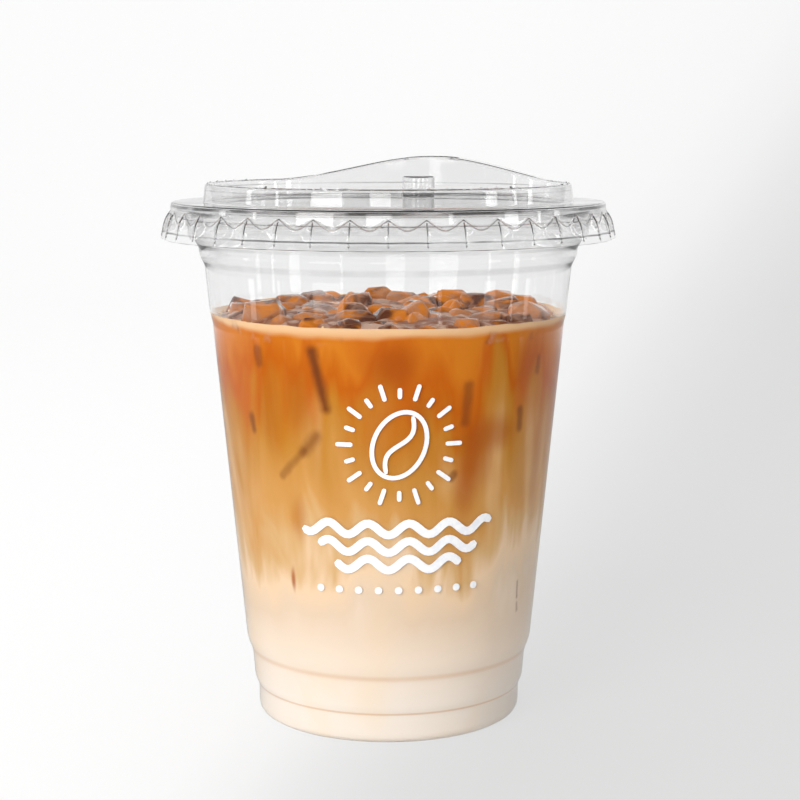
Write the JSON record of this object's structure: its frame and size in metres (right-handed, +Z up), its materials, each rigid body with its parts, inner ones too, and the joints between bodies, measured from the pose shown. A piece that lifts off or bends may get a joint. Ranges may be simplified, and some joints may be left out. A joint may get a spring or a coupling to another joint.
{
  "type": "iced latte in a clear cup with a sip lid",
  "caption": "Layered iced milk coffee with floating ice in a tapered clear cup, closed by a clear press-on lid with a raised sip spout and a pleated skirt",
  "frame": {"origin": "middle of the foot, on the surface that the cup stands on", "axes": "+Z up along the cup's axis; -Y is the printed front; the lid's spout stands at the back, 16.5 degrees from +Y towards +X"},
  "size_m": [0.105, 0.105, 0.1297],
  "materials": {
    "clear_cup": "clear thermoformed PET, smooth and glossy, with a printed white emblem",
    "clear_lid": "clear thermoformed PET, smooth and glossy",
    "milk": "cream milk, opaque, wet",
    "coffee": "milky coffee, opaque, streaked, fading to cream",
    "foam": "thin tan foam with fine bubbles",
    "ice": "wet ice stained by coffee, translucent"
  },
  "bodies": {
    "root": {"cup": "clear_cup", "lid": "clear_lid", "milk": "milk", "coffee": "coffee", "foam": "foam", "ice_01": "ice", "ice_02": "ice", "ice_03": "ice", "ice_04": "ice", "ice_05": "ice", "ice_06": "ice", "ice_07": "ice", "ice_08": "ice", "ice_09": "ice", "ice_10": "ice", "ice_11": "ice", "ice_12": "ice", "ice_13": "ice", "ice_14": "ice", "ice_15": "ice", "ice_16": "ice", "ice_17": "ice", "ice_18": "ice", "ice_19": "ice"}
  },
  "joints": []
}
